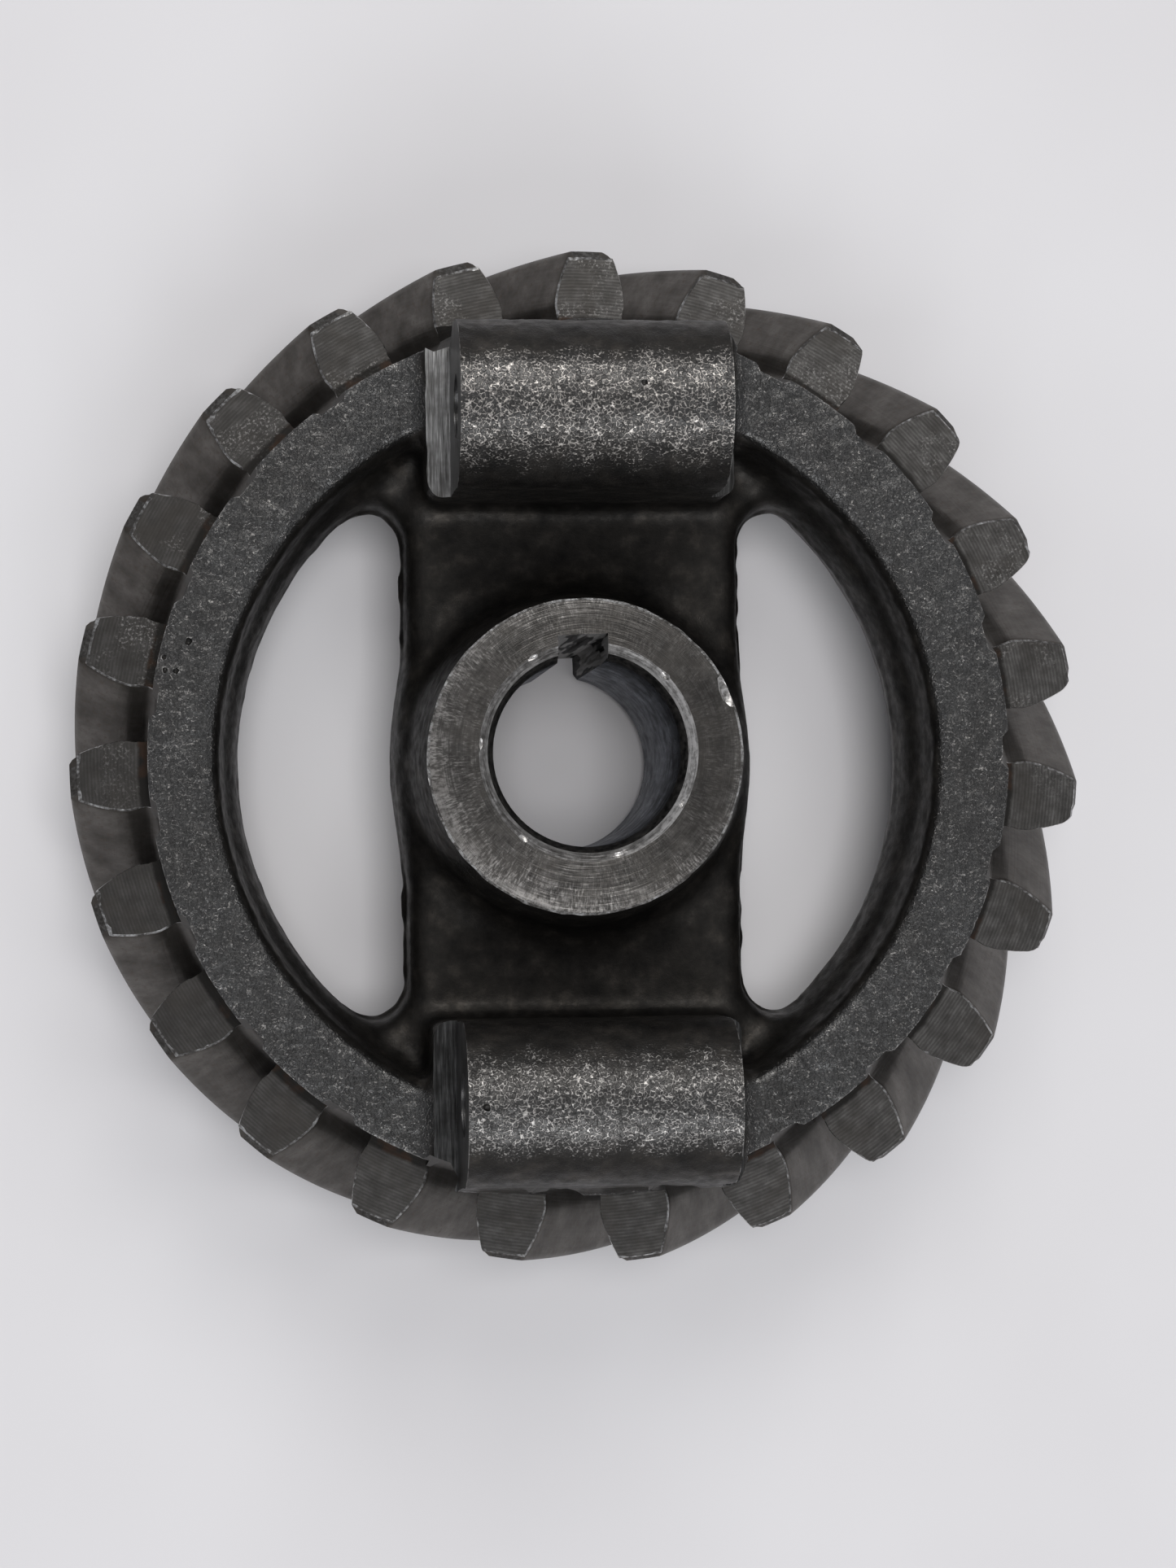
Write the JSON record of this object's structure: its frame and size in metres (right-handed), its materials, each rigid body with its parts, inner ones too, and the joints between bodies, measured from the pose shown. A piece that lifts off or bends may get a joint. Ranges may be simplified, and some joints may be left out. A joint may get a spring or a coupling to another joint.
{
  "type": "helical timing gear",
  "caption": "Cast-iron left-hand helical gear with a keyed hub on a web bar, two D-shaped windows and two bored cross bosses that carry pivot pins.",
  "frame": {"origin": "on the bore axis, at the lower hub face", "axes": "+Z along the bore axis towards the side with the pivot bosses; +Y along the web bar towards the upper boss, on the keyway's side"},
  "size_m": [0.1302, 0.1302, 0.0636],
  "materials": {
    "machined_teeth": "hobbed flanks and turned end faces, oil-darkened",
    "cast_skin": "pebbled sand-cast skin, oiled",
    "oily_skin": "smooth sand-cast skin under black oil film",
    "machined_face": "turned and worn face, fine circular and radial marks"
  },
  "bodies": {
    "root": {"tooth_ring": "machined_teeth", "cast_rim": "cast_skin", "keyed_hub": "machined_face", "upper_web_arm": "oily_skin", "lower_web_arm": "oily_skin", "upper_pivot_boss": "cast_skin", "lower_pivot_boss": "cast_skin"}
  },
  "joints": []
}
